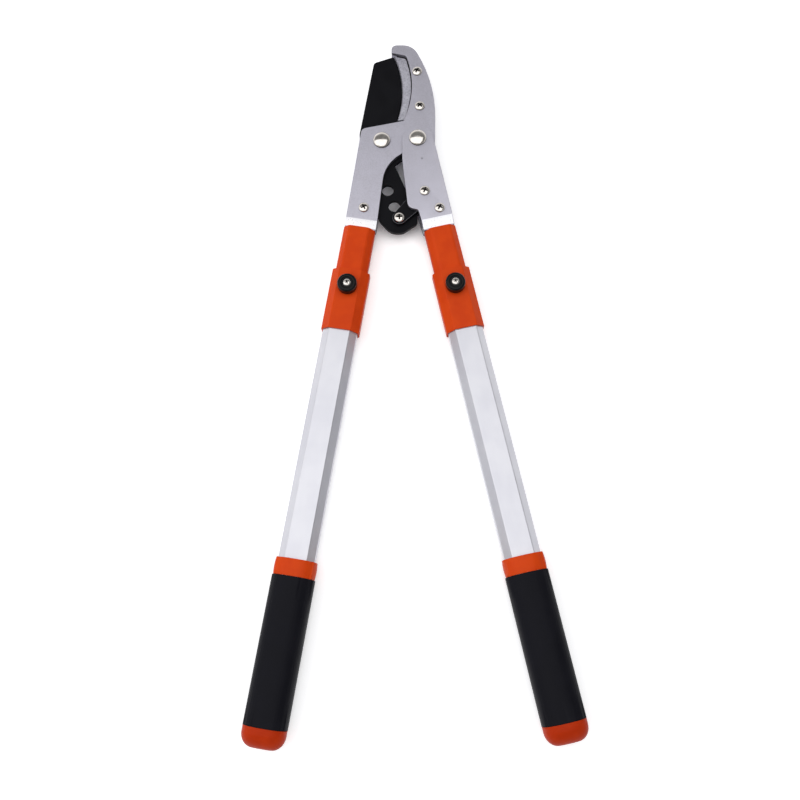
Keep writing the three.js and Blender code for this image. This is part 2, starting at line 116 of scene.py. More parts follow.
def finishSurface(tree, shader, colour, roughness, height, depth):
    tree.links.new(colour, shader.inputs["Base Color"])
    tree.links.new(roughness, shader.inputs["Roughness"])
    bump = addNode(tree, "ShaderNodeBump", {"Strength": 1.0, "Distance": depth}, {"Height": height})
    tree.links.new(bump.outputs["Normal"], shader.inputs["Normal"])


def pressedSteel(name, look):
    # plated or sintered steel: fine grain over soft clouds, with a few separate flecks
    material, tree, shader = startMaterial(name, look)
    place = addNode(tree, "ShaderNodeTexCoord").outputs["Object"]
    fine = grain(tree, place, look["grain"], 3.0, 0.6)
    broad = grain(tree, place, look["cloud"])
    cells = {"Scale": 1 / look["fleckSpacing"], "Randomness": 1.0}
    flecks = addNode(tree, "ShaderNodeTexVoronoi", cells, {"Vector": place})
    # each fleck fades out between 2% and 7% of their spacing from its middle
    fading = {"From Min": 0.02, "From Max": 0.07, "To Min": 1.0, "To Max": 0.0}
    near = addNode(tree, "ShaderNodeMapRange", fading, {"Value": flecks.outputs["Distance"]})
    clouded = tint(tree, broad, look["shade"], look["colour"])
    speckled = tint(tree, fine, look["pit"], look["colour"], 0.38, 0.56)
    halves = {"data_type": "RGBA", "Factor": 0.5}
    ground = addNode(tree, "ShaderNodeMix", halves, {"A": clouded, "B": speckled})
    mixed = addNode(tree, "ShaderNodeMix", {"data_type": "RGBA", "B": toLinear(look["fleck"])},
                    {"Factor": near.outputs["Result"], "A": ground.outputs["Result"]})
    roughness = spread(tree, fine, *look["roughSpread"])
    finishSurface(tree, shader, mixed.outputs["Result"], roughness, fine, look["depth"])
    return material


def plainSurface(name, look):
    # a moulded, coated or plated surface: cloudy colour, uneven gloss and a fine texture
    material, tree, shader = startMaterial(name, look)
    place = addNode(tree, "ShaderNodeTexCoord").outputs["Object"]
    fine = grain(tree, place, look["grain"], 2.0, 0.6)
    broad = grain(tree, place, look["cloud"])
    colour = tint(tree, broad, look["shade"], look["colour"])
    finishSurface(tree, shader, colour, spread(tree, broad, *look["roughSpread"]), fine, look["depth"])
    return material


def drawnSurface(name, look, lean):
    # extruded metal: streaks that run down the handle
    material, tree, shader = startMaterial(name, look)
    place = addNode(tree, "ShaderNodeTexCoord").outputs["Object"]
    turning = {"vector_type": "TEXTURE", "Rotation": (0, 0, lean)}
    turned = addNode(tree, "ShaderNodeMapping", turning, {"Vector": place})
    stretching = {"Scale": (1, look["stretch"], 1)}
    along = addNode(tree, "ShaderNodeMapping", stretching, {"Vector": turned.outputs["Vector"]})
    streaks = grain(tree, along.outputs["Vector"], look["grain"], 3.0, 0.6)
    broad = grain(tree, place, look["cloud"])
    colour = tint(tree, broad, look["shade"], look["colour"])
    finishSurface(tree, shader, colour, spread(tree, streaks, *look["roughSpread"]), streaks, look["depth"])
    return material


def leanOf(side):
    joint = next(j for j in frame["joints"] if j["name"] == side + "_grip_slide")
    return math.atan2(joint["axis"][0], -joint["axis"][1])


# punched sheet, tumbled and zinc plated: a soft cool grey lustre with a fine grain and a few dull flecks
plateSteel = pressedSteel("zinc plated pressed steel", {
    "colour": "#C8C6D2", "shade": "#C2C0CB", "pit": "#AFADB8", "fleck": "#8F8D97",
    "metallic": 0.7, "roughness": 0.38,
    "grain": 0.9 * mm,  # real grain is near 0.3 mm, drawn coarser so that it shows
    "cloud": 14 * mm, "fleckSpacing": 22 * mm, "roughSpread": (0.34, 0.44), "depth": 0.012 * mm})
# plate walls: duller than the faces where left raw by the punch, and darker as painted shade, which outlines each
# plate
shadedEdgeWall = plainSurface("sheet edge wall in painted shade", {
    "colour": "#75747C", "shade": "#5F5E65", "metallic": 0.6, "roughness": 0.5,
    "grain": 0.7 * mm, "cloud": 6 * mm, "roughSpread": (0.5, 0.62), "depth": 0.02 * mm})
# painted highlight on the slope where the sheet was folded: a bright white band above each sleeve
bendHighlight = pressedSteel("press bend with painted highlight", {
    "colour": "#F6F6FA", "shade": "#F1F1F6", "pit": "#F4F4F8", "fleck": "#F6F6FA",
    "metallic": 0.45, "roughness": 0.3, "grain": 1.2 * mm, "cloud": 9 * mm, "fleckSpacing": 30 * mm,
    "roughSpread": (0.26, 0.36), "depth": 0.008 * mm})
# pressed from powder: a rough, mottled grey that looks grainy beside the plates
anvilSteel = pressedSteel("sintered steel anvil", {
    "colour": "#C6C5CF", "shade": "#B0AFBA", "pit": "#8E8D97", "fleck": "#74737D",
    "metallic": 0.55, "roughness": 0.48,
    "grain": 1.4 * mm,  # real powder grains are near 0.1 mm, drawn coarser so that they show
    "cloud": 5 * mm, "fleckSpacing": 5 * mm, "roughSpread": (0.42, 0.6), "depth": 0.09 * mm})
# coating rubbed off a sharp edge, lightened further as painted highlight: a thin grey line that draws the link's
# outline
wornCoatAndHighlight = plainSurface("blade coating edge, worn and with painted highlight", {
    "colour": "#77777D", "shade": "#4C4C52", "metallic": 0.7, "roughness": 0.4,
    "grain": 0.6 * mm, "cloud": 3 * mm, "roughSpread": (0.34, 0.46), "depth": 0.01 * mm})
# baked low-friction coating: an even soft black with hardly any shine
bladeCoat = plainSurface("PTFE coated blade steel", {
    "colour": "#121216", "shade": "#0F0F13", "roughness": 0.5, "specular": 0.08,
    "grain": 0.6 * mm, "cloud": 18 * mm, "roughSpread": (0.44, 0.56), "depth": 0.01 * mm})
# polished and plated heads: clear, slightly warm mirrors of the studio
brightNickel = plainSurface("bright nickel plate", {
    "colour": "#E2DDD8", "shade": "#D9D3CD", "metallic": 1.0, "roughness": 0.15,
    "grain": 1.5 * mm, "cloud": 4 * mm, "roughSpread": (0.12, 0.19), "depth": 0.002 * mm})
# painted shade in sunk places: near black, so that the driver's cross and the joint line read
recessShade = plainSurface("driver recess in painted shade", {
    "colour": "#211D1B", "shade": "#171412", "metallic": 0.2, "roughness": 0.6, "specular": 0.2,
    "grain": 0.5 * mm, "cloud": 1.5 * mm, "roughSpread": (0.5, 0.7), "depth": 0.01 * mm})
# barrel plated small parts: an even, satin light grey
zincFasteners = plainSurface("zinc plated nuts", {
    "colour": "#C3C3C6", "shade": "#B4B4BA", "metallic": 1.0, "roughness": 0.3,
    "grain": 0.8 * mm, "cloud": 3 * mm, "roughSpread": (0.24, 0.36), "depth": 0.005 * mm})
# injection moulded in a spark-textured tool: a warm, strong orange with a broad, weak sheen
orangeMould = plainSurface("moulded orange polypropylene", {
    "colour": "#D8460D", "shade": "#D2410B", "roughness": 0.42, "specular": 0.1,
    "grain": 0.7 * mm,  # spark texture of the mould
    "cloud": 16 * mm, "roughSpread": (0.38, 0.47), "depth": 0.012 * mm})
# the same plastic painted redder and darker on the end caps, as shade
shadedCapOrange = plainSurface("orange polypropylene of the end caps in painted shade", {
    "colour": "#BE360C", "shade": "#B6310A", "roughness": 0.42, "specular": 0.08,
    "grain": 0.7 * mm, "cloud": 14 * mm, "roughSpread": (0.38, 0.47), "depth": 0.012 * mm})
# moulded in a polished tool: deep black with a small clear highlight
blackMould = plainSurface("moulded black nylon", {
    "colour": "#09090B", "shade": "#070709", "roughness": 0.22, "specular": 0.16,
    "grain": 0.6 * mm, "cloud": 6 * mm, "roughSpread": (0.18, 0.26), "depth": 0.004 * mm})
# soft rubber moulded over the tube: a bluish black that spreads the light softly
gripRubber = plainSurface("soft black TPR grip", {
    "colour": "#121219", "shade": "#0F0F16", "roughness": 0.46, "specular": 0.09,
    "grain": 0.8 * mm,  # fine leather stipple
    "cloud": 20 * mm, "roughSpread": (0.46, 0.56), "depth": 0.03 * mm})
# drawn wire: plain bright steel
springSteel = plainSurface("drawn spring wire", {
    "colour": "#9FA0A6", "shade": "#8C8D94", "metallic": 1.0, "roughness": 0.3,
    "grain": 0.5 * mm, "cloud": 3 * mm, "roughSpread": (0.26, 0.36), "depth": 0.004 * mm})
# extruded and satin anodised: pale, softly mirrored facets with faint lengthwise streaks
tubeAluminium = {side: drawnSurface("satin anodised aluminium " + side, {
    "colour": "#CDCDD3", "shade": "#C8C8CF", "metallic": 0.85, "roughness": 0.36,
    "grain": 0.5 * mm, "stretch": 0.015, "cloud": 30 * mm,
    "roughSpread": (0.32, 0.4), "depth": 0.006 * mm,
}, leanOf(side)) for side in sides}
print("materials made")


shell = {"weld": 0.002 * mm, "flat": 0.6, "sharp": 35}  # the last two are angles in degrees


def copyNode(name):
    # a CAD node's loose triangles, merged into one closed shell of flat faces
    shape = bmesh.new()
    shape.from_mesh(nodes[name].data)
    flat = math.radians(shell["flat"])
    bmesh.ops.remove_doubles(shape, verts=shape.verts, dist=shell["weld"])
    bmesh.ops.dissolve_limit(shape, angle_limit=flat, verts=shape.verts, edges=shape.edges)
    return shape


def sharpEdges(shape, angle=shell["sharp"]):
    limit = math.radians(angle)
    return [e for e in shape.edges if len(e.link_faces) == 2 and e.calc_face_angle(0) > limit]


def bevelEdges(shape, edges, width, segments=2):
    bmesh.ops.bevel(shape, geom=edges, offset=width, offset_type="OFFSET", affect="EDGES",
                    segments=segments, profile=0.5, material=-1, clamp_overlap=True)


def placePiece(shape, name, body, finishes, replaced, smooth=50):
    data = bpy.data.meshes.new(name)
    bmesh.ops.recalc_face_normals(shape, faces=shape.faces)
    shape.to_mesh(data)
    shape.free()
    data.polygons.foreach_set("use_smooth", [True] * len(data.polygons))
    data.set_sharp_from_angle(angle=math.radians(smooth))
    for finish in finishes if isinstance(finishes, list) else [finishes]:
        data.materials.append(finish)
    piece = bpy.data.objects.new(name, data)
    bpy.context.scene.collection.objects.link(piece)
    # flat faces shade flat, and the roundings between them take the blend
    even = piece.modifiers.new("even shading", "WEIGHTED_NORMAL")
    even.keep_sharp = True
    even.weight = 50
    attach(piece, body)
    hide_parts(*replaced)
    return piece


def refineNode(name, material, width):
    # the CAD shape with its edges rounded as the real ones are
    shape = copyNode(name)
    bevelEdges(shape, sharpEdges(shape), width)
    placePiece(shape, name + ".refined", bodyOfNode[name], material, [name])


def turnProfile(profile, centre, steps):
    # spins a list of (radius, height) about an upright axis
    shape = bmesh.new()
    verts = [shape.verts.new((radius, 0, height)) for radius, height in profile]
    edges = [shape.edges.new(pair) for pair in zip(verts, verts[1:])]
    bmesh.ops.spin(shape, geom=verts + edges, cent=(0, 0, 0), axis=(0, 0, 1), angle=2 * math.pi,
                   steps=steps, use_merge=True)
    bmesh.ops.remove_doubles(shape, verts=shape.verts, dist=shell["weld"] / 2)
    bmesh.ops.recalc_face_normals(shape, faces=shape.faces)
    bmesh.ops.translate(shape, vec=(centre[0], centre[1], 0), verts=shape.verts)
    return shape


def makeCutter(shape):
    data = bpy.data.meshes.new("cutter")
    shape.to_mesh(data)
    shape.free()
    data.materials.append(recessShade)
    cutter = bpy.data.objects.new("cutter", data)
    bpy.context.scene.collection.objects.link(cutter)
    return cutter


def crossRecess(centre, top, turn, size):
    # two tapered wings that cut the driver's cross
    cutters = []
    for quarter in (0, 1):
        shape = bmesh.new()
        bmesh.ops.create_cube(shape, size=1)
        bmesh.ops.scale(shape, vec=(size["span"], size["width"], size["depth"]), verts=shape.verts)
        low = [v for v in shape.verts if v.co.z < 0]
        bmesh.ops.scale(shape, vec=(*size["taper"], 1), verts=low)
        turning = Matrix.Rotation(turn + quarter * math.pi / 2, 4, "Z")
        place = Matrix.Translation((centre[0], centre[1], top)) @ turning
        bmesh.ops.transform(shape, matrix=place, verts=shape.verts)
        cutters.append(makeCutter(shape))
    return cutters


def cutAway(shape, cutters, finish):
    data = bpy.data.meshes.new("blank")
    shape.to_mesh(data)
    shape.free()
    data.materials.append(finish)
    blank = bpy.data.objects.new("blank", data)
    bpy.context.scene.collection.objects.link(blank)
    for cutter in cutters:
        boolean = blank.modifiers.new("cut", "BOOLEAN")
        boolean.operation = "DIFFERENCE"
        boolean.solver = "EXACT"
        boolean.material_mode = "TRANSFER"  # the cut walls take the recess's painted shade
        boolean.object = cutter
    bpy.context.view_layer.update()
    evaluated = blank.evaluated_get(bpy.context.evaluated_depsgraph_get())
    result = bmesh.new()
    result.from_mesh(evaluated.to_mesh())
    for thing in [blank, *cutters]:
        bpy.data.objects.remove(thing)
    return result


dome = {"shoulder": 0.3 * mm, "foot": 0.25 * mm, "waist": 0.4}  # the waist is a share of the rim's height


def domeProfile(radius, seat, height, rim, steps=12):
    # a low dome on a short straight rim, from its centre outwards
    points = []
    for i in range(steps):
        share = math.sin(i / steps * math.pi / 2)
        points.append((radius * share, seat + rim + (height - rim) * math.sqrt(1 - share * share)))
    return points + [(radius - dome["shoulder"], seat + rim), (radius, seat + rim * dome["waist"]),
                     (radius - dome["foot"], seat)]


def handleFrame(side):
    # origin on the knob's axis in the handle's middle plane, +Y up the handle
    low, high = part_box("knob_" + side)
    middle = (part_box("outer_tube_" + side)[0].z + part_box("outer_tube_" + side)[1].z) / 2
    place = Matrix.Translation(((low.x + high.x) / 2, (low.y + high.y) / 2, middle))
    return place @ Matrix.Rotation(leanOf(side), 4, "Z")


def localBox(name, place):
    points = [place.inverted() @ v.co for v in nodes[name].data.vertices]
    return [Vector(map(pick, zip(*points))) for pick in (min, max)]


# how far up a face looks, from 0 to 1, tells a wall or a rounding from a flat face
plates = {"rounding": 0.55 * mm, "bendArea": 40 * mm * mm, "wallTilt": 0.3, "bendTilt": 0.995}
link = {"rounding": 0.35 * mm, "wornLitTilts": (0.2, 0.98)}
anvil = {"notch": 0.5 * mm, "rounding": 0.12 * mm, "jointWidth": 1.0 * mm, "jointDepth": 1.2 * mm}


def makePlate(name, size):
    shape = copyNode(name)
    bevelEdges(shape, sharpEdges(shape), size["rounding"], 3)
    for face in shape.faces:
        level = abs(face.normal.z)
        if level < size["wallTilt"]:
            # the walls take the painted shade that outlines each plate
            face.material_index = 1
        elif level < size["bendTilt"] and face.calc_area() > size["bendArea"]:
            # the sloping bend faces take the painted highlight
            face.material_index = 2
    finishes = [plateSteel, shadedEdgeWall, bendHighlight]
    placePiece(shape, name + ".pressed", bodyOfNode[name], finishes, [name])


def makeLink(name, size):
    shape = copyNode(name)
    bevelEdges(shape, sharpEdges(shape), size["rounding"])
    # the roundings take the worn coating, lightened as painted highlight
    low, high = size["wornLitTilts"]
    for face in shape.faces:  # only the roundings, which lie between wall and face
        face.material_index = int(low < abs(face.normal.z) < high)
    placePiece(shape, name + ".cut", bodyOfNode[name], [bladeCoat, wornCoatAndHighlight], [name])


def makeAnvil(size):
    # its notches are cut deeper, and a joint line is sunk where it meets the plates that hold it
    shape = copyNode("anvil")
    bmesh.ops.recalc_face_normals(shape, faces=shape.faces)
    notches = {v for e in sharpEdges(shape) if not e.is_convex for v in e.verts}
    bmesh.ops.translate(shape, vec=(size["notch"], 0, 0), verts=list(notches))
    bevelEdges(shape, sharpEdges(shape), size["rounding"])
    cutters = []
    for name, way in (("body_plate_front", -1), ("body_plate_rear", 1)):
        cutter = copyNode(name)
        for vert in cutter.verts:
            outwards = Vector((vert.normal.x, vert.normal.y, 0)).normalized()
            vert.co += outwards * size["jointWidth"] + Vector((0, 0, way * size["jointDepth"]))
        cutters.append(makeCutter(cutter))
    # the sunk joint line's walls take the painted shade
    insert = cutAway(shape, cutters, anvilSteel)
    placePiece(insert, "anvil.insert", "body", [anvilSteel, recessShade], ["anvil"], 30)


for name in ("body_plate_front", "body_plate_rear", "handle_plate_front", "handle_plate_rear"):
    makePlate(name, plates)
for name in ("link_front", "link_rear"):
    makeLink(name, link)
makeAnvil(anvil)


blade = {"ground": 1.2 * mm, "reach": 2.4 * mm, "rounding": 0.3 * mm, "closed": 0.12 * mm}


def makeBlade(size):
    # ground along its cutting edge, which is drawn shut against the anvil
    shape = copyNode("blade")
    corners = nodes["anvil"].data.vertices
    tree = KDTree(len(corners))
    for i, v in enumerate(corners):
        tree.insert(v.co, i)
    tree.balance()

    def atAnvil(edge):
        ends = [v.co for v in edge.verts]
        level = abs(ends[0].z - ends[1].z) < shell["weld"] / 2
        return level and all(tree.find(end)[2] < size["reach"] for end in ends)

    cutting = [e for e in sharpEdges(shape) if atAnvil(e)]
    for vert in {v for e in cutting for v in e.verts}:
        near, _, gap = tree.find(vert.co)
        step = Vector((near.x - vert.co.x, near.y - vert.co.y, 0))
        vert.co += step * max(0, gap - size["closed"]) / max(gap, 1e-9)
    bevelEdges(shape, cutting, size["ground"], 1)
    bevelEdges(shape, sharpEdges(shape, 60), size["rounding"])
    placePiece(shape, "blade.ground", "blade", bladeCoat, ["blade"], 30)


makeBlade(blade)
print("head plates made")


boltHead = {"rim": 0.9 * mm, "shank": 4 * mm, "chamfer": 0.5 * mm, "steps": 72}
screwHead = {"rim": 0.5 * mm, "shank": 2.5 * mm, "chamfer": 0.4 * mm, "steps": 48}
# the lowest band of each head's rim is painted dark as shade
rimShade = {"share": 0.95, "tilt": 0.95}  # of the rim's height, and the most its faces may look up
recess = {"span": 6.8 * mm, "width": 1.7 * mm, "depth": 3.6 * mm, "taper": (0.75, 0.8)}
# how far each screw happened to turn when it was driven home, in degrees
screwTurns = {"anvil_screw_upper": 62, "anvil_screw_lower": 45, "link_screw": 4, "link_pivot_screw": 70,
              "arm_screw_left": 28, "arm_screw_right": 62}


def headOf(name):
    # centre, seat, top, head radius and shank end of a CAD bolt, all from its own corners
    low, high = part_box(name)
    radius = (high.x - low.x) / 2
    centre = ((low.x + high.x) / 2, (low.y + high.y) / 2)
    outermost = radius * 0.97
    wide = [v.co.z for v in nodes[name].data.vertices
            if math.hypot(v.co.x - centre[0], v.co.y - centre[1]) > outermost]
    return centre, min(wide), high.z, radius, low.z


def turnHead(name, size):
    # a domed head and its plain shank, chamfered at the end
    centre, seat, top, radius, end = headOf(name)
    shank, chamfer = size["shank"], size["chamfer"]
    profile = [*domeProfile(radius, seat, top - seat, size["rim"]), (shank, seat), (shank, end + chamfer),
               (shank - chamfer, end), (0, end)]
    return turnProfile(profile, centre, size["steps"])


def darkenRims(shape, name, size):
    # the lowest edge of a head is painted dark as shade where it meets the plate
    seat = headOf(name)[1]
    top = seat + size["rim"] * rimShade["share"]
    for face in shape.faces:
        inRim = seat + shell["weld"] / 2 < face.calc_center_median().z < top
        if inRim and abs(face.normal.z) < rimShade["tilt"]:
            face.material_index = 1


def makeBolt(name, size):
    shape = turnHead(name, size)
    darkenRims(shape, name, size)
    finishes = [brightNickel, recessShade]
    placePiece(shape, name + ".turned", bodyOfNode[name], finishes, [name], 40)


def makeScrew(name, size, turn):
    centre, _, top, _, _ = headOf(name)
    cross = crossRecess(centre, top, math.radians(turn), recess)
    shape = cutAway(turnHead(name, size), cross, brightNickel)
    darkenRims(shape, name, size)
    finishes = [brightNickel, recessShade]
    placePiece(shape, name + ".cross", bodyOfNode[name], finishes, [name], 32)


for name in ("blade_bolt", "handle_bolt"):
    makeBolt(name, boltHead)
for name, turn in screwTurns.items():
    makeScrew(name, screwHead, turn)

nuts = {"chamfer": 0.5 * mm}
for name in [n for n in nodes if n.endswith(("_nut", "_washer")) or "_nut_" in n]:
    refineNode(name, zincFasteners, nuts["chamfer"])
print("bolts and screws made")


handle = {"tubeFold": 1.2 * mm, "innerTubeFold": 0.96 * mm, "sleeveFold": 1.7 * mm,
          "collarFold": 2.0 * mm, "rims": 0.45 * mm,
          "foldAngle": 25, "rimAngle": 60, "along": 0.99}


def foldSection(name, material, side, fold):
    # a long part's outer folds take a wide rounding and its rims a small one
    shape = copyNode(name)
    bmesh.ops.recalc_face_normals(shape, faces=shape.faces)
    way = handleFrame(side).to_3x3() @ Vector((0, 1, 0))
    folds = sharpEdges(shape, handle["foldAngle"])
    long = [e for e in folds if e.is_convex
            and abs((e.verts[1].co - e.verts[0].co).normalized().dot(way)) > handle["along"]]
    bevelEdges(shape, long, fold, 4)
    bevelEdges(shape, sharpEdges(shape, handle["rimAngle"]), handle["rims"])
    placePiece(shape, name + ".refined", bodyOfNode[name], material, [name])


grip = {"power": 2.4, "cuts": 9, "rows": 6, "rounding": 1.0 * mm,
        "ringSag": 0.03, "ringRounding": 0.9 * mm, "slack": 0.4 * mm}


def ovalPoint(across, upward, halfWidth, halfDepth):
    # the point of the crowned section that lies the same way from its middle
    power = grip["power"]
    reach = (abs(across / halfWidth) ** power + abs(upward / halfDepth) ** power) ** (1 / power)
    return across / reach, upward / reach


def crownPiece(name, material, side, rounding, sag=0.0):
    # a moulded sleeve over the tube, crowned all round, with its ends drawn in by `sag`
    place = handleFrame(side)
    tube = localBox("outer_tube_" + side, place)[1]
    low, high = localBox(name, place)
    halfWidth, halfDepth, length = (high.x - low.x) / 2, (high.z - low.z) / 2, high.y - low.y
    shape = copyNode(name)
    bmesh.ops.transform(shape, matrix=place.inverted(), verts=shape.verts)
    shares = [i / grip["cuts"] for i in range(1 - grip["cuts"], grip["cuts"])]
    cuts = [((halfWidth * share, 0, 0), (1, 0, 0)) for share in shares]
    cuts += [((0, 0, halfDepth * share), (0, 0, 1)) for share in shares]
    cuts += [((0, low.y + length * i / grip["rows"], 0), (0, 1, 0)) for i in range(1, grip["rows"])]
    for point, way in cuts:
        geometry = [*shape.verts, *shape.edges, *shape.faces]
        bmesh.ops.bisect_plane(shape, geom=geometry, dist=1e-7, plane_co=point, plane_no=way)
    for vert in shape.verts:
        if abs(vert.co.x) > tube.x + grip["slack"] or abs(vert.co.z) > tube.z + grip["slack"]:
            x, z = ovalPoint(vert.co.x, vert.co.z, halfWidth, halfDepth)
            ease = 1 - sag * (2 * (vert.co.y - low.y) / length - 1) ** 2
            vert.co = (x * ease, vert.co.y, z * ease)
    bmesh.ops.transform(shape, matrix=place, verts=shape.verts)
    bevelEdges(shape, sharpEdges(shape, 60), rounding, 3)
    placePiece(shape, name + ".crowned", bodyOfNode[name], material, [name], 40)


cap = {"round": 12 * mm, "pinch": 0.9, "rows": 14, "steps": 72, "flatness": 0.12,
       "shy": 0.12 * mm, "gap": 0.3 * mm}


def makeCap(side):
    # the grip's section drawn in to a round end
    place = handleFrame(side)
    gripLow, gripHigh = localBox("grip_" + side, place)
    halfWidth = (gripHigh.x - gripLow.x) / 2 - cap["shy"]
    halfDepth = (gripHigh.z - gripLow.z) / 2 - cap["shy"]
    start = gripLow.y - cap["gap"]
    length = start - localBox("end_cap_" + side, place)[0].y - cap["shy"]
    shape = bmesh.new()
    bmesh.ops.create_circle(shape, cap_ends=True, segments=cap["steps"], radius=1)
    for vert in shape.verts:
        x, z = ovalPoint(vert.co.x * halfWidth, vert.co.y * halfDepth, halfWidth, halfDepth)
        vert.co = (x, start, z)
    face = shape.faces[:][0]
    width, depth = halfWidth, halfDepth
    straight = length - cap["round"]
    for i in range(cap["rows"] + 1):
        angle = i / cap["rows"] * math.pi / 2
        level = start - straight - cap["round"] * math.sin(angle)
        face = bmesh.ops.extrude_discrete_faces(shape, faces=[face])["faces"][0]
        newWidth = halfWidth - cap["round"] * cap["pinch"] * (1 - math.cos(angle))
        fall = math.sqrt(max(0, 1 - ((start - level) / length) ** 2))
        newDepth = halfDepth * (cap["flatness"] + (1 - cap["flatness"]) * fall)
        bmesh.ops.scale(shape, vec=(newWidth / width, 1, newDepth / depth), verts=face.verts)
        bmesh.ops.translate(shape, vec=(0, level - face.calc_center_median().y, 0), verts=face.verts)
        width, depth = newWidth, newDepth
    bmesh.ops.contextual_create(shape, geom=[e for e in shape.edges if e.is_boundary])
    bmesh.ops.transform(shape, matrix=place, verts=shape.verts)
    name = "end_cap_" + side
    # the caps take the orange painted darker as shade
    placePiece(shape, name + ".round", side + "_grip", shadedCapOrange, [name], 60)


knob = {"skirt": 0.8 * mm, "shoulder": 2.2 * mm, "rim": 0.9 * mm, "bore": 7 * mm, "wall": 1.6 * mm,
        "lip": (0.5 * mm, 0.25 * mm), "slope": 1.0 * mm, "screwBore": 1.65 * mm}
knobScrew = {"head": 1.5 * mm, "shank": 1.5 * mm, "rim": 0.35 * mm, "turn": 20}
knobRecess = {"span": 4.6 * mm, "width": 1.1 * mm, "depth": 2.2 * mm, "taper": (0.7, 0.8)}


def makeKnob(side):
    # a round-shouldered knob with a shallow dish for its screw
    low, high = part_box("knob_" + side)
    centre = ((low.x + high.x) / 2, (low.y + high.y) / 2)
    radius = (high.x - low.x) / 2
    screwLow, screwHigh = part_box("knob_screw_" + side)
    headRadius = (screwHigh.x - screwLow.x) / 2
    floor = screwHigh.z - knobScrew["head"]
    shoulder = knob["shoulder"]
    arcs = [(radius - shoulder * (1 - math.cos(a)), high.z - shoulder * (1 - math.sin(a)))
            for a in (math.radians(15 * i) for i in range(7))]
    dishEdge = radius - shoulder - knob["rim"]
    lipWidth, lipDepth = knob["lip"]
    bore, screwBore, ceiling = knob["bore"], knob["screwBore"], floor - knob["wall"]
    profile = [(bore, low.z), (radius - knob["skirt"], low.z), (radius, low.z + knob["skirt"]), *arcs,
               (dishEdge, high.z), (dishEdge - lipWidth, high.z - lipDepth),
               (dishEdge - knob["slope"], floor), (screwBore, floor), (screwBore, ceiling),
               (bore, ceiling), (bore, low.z)]
    name, body = "knob_" + side, side + "_knob"
    shape = turnProfile(profile, centre, 64)
    placePiece(shape, name + ".turned", body, blackMould, [name], 40)
    shank = knobScrew["shank"]
    screwProfile = [*domeProfile(headRadius, floor, screwHigh.z - floor, knobScrew["rim"], 8), (shank, floor),
                    (shank, screwLow.z), (0, screwLow.z)]
    cross = crossRecess(centre, screwHigh.z, math.radians(knobScrew["turn"]), knobRecess)
    cut = cutAway(turnProfile(screwProfile, centre, 40), cross, brightNickel)
    name = "knob_screw_" + side
    placePiece(cut, name + ".cross", body, [brightNickel, recessShade], [name], 32)


def makeSpring(side):
    # the CAD coil on a mesh of its own; pulling the knob closes the real spring up against the boss above it
    name = "lock_spring_" + side
    shape = copyNode(name)
    piece = placePiece(shape, name + ".coil", side + "_grip", springSteel, [name], 60)
    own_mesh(piece)


for side in sides:
    aluminium = tubeAluminium[side]
    foldSection("outer_tube_" + side, aluminium, side, handle["tubeFold"])
    foldSection("inner_tube_" + side, aluminium, side, handle["innerTubeFold"])
    foldSection("sleeve_" + side, orangeMould, side, handle["sleeveFold"])
    foldSection("collar_" + side, orangeMould, side, handle["collarFold"])
    crownPiece("grip_ring_" + side, orangeMould, side, grip["ringRounding"],
               grip["ringSag"])
    crownPiece("grip_" + side, gripRubber, side, grip["rounding"])
    makeCap(side)
    makeKnob(side)
    makeSpring(side)
print("handles made")


def paintNode(name, material):
    nodes[name].data.materials.clear()
    nodes[name].data.materials.append(material)


# hidden and small nodes keep their CAD shape
for name in nodes:
    if not nodes[name].hide_render:
        paintNode(name, blackMould if name.startswith(("tongue_core", "tube_glide")) else plateSteel)
print("small parts painted")


paper = {"size": 24, "colour": "#EEEEF0", "roughness": 0.9, "specular": 0.1, "glow": 0.5,
         "farGlow": 0.5, "farFrom": (0.9, 2.2), "gapDepth": 0.05, "gapShade": (0.2, 0.5)}
studio = {"brightWall": (-0.55, 0.83, 0), "wallLevels": (0.3, 1.05),
          "ceiling": 0.22, "ceilingFrom": (0.38, 0.6)}
softbox = {"size": (4.4, 2.3), "place": (-1.2, -0.1, 1.75), "power": 43}
# placed in metres from the middle of the blade's bolt, and turned by degrees
lens = {"focal": 41.49, "sensor": 36, "far": 50,
        "place": (0.0324, -0.4793, 0.8068), "turn": (15.171, 0.8997, 0.2439)}


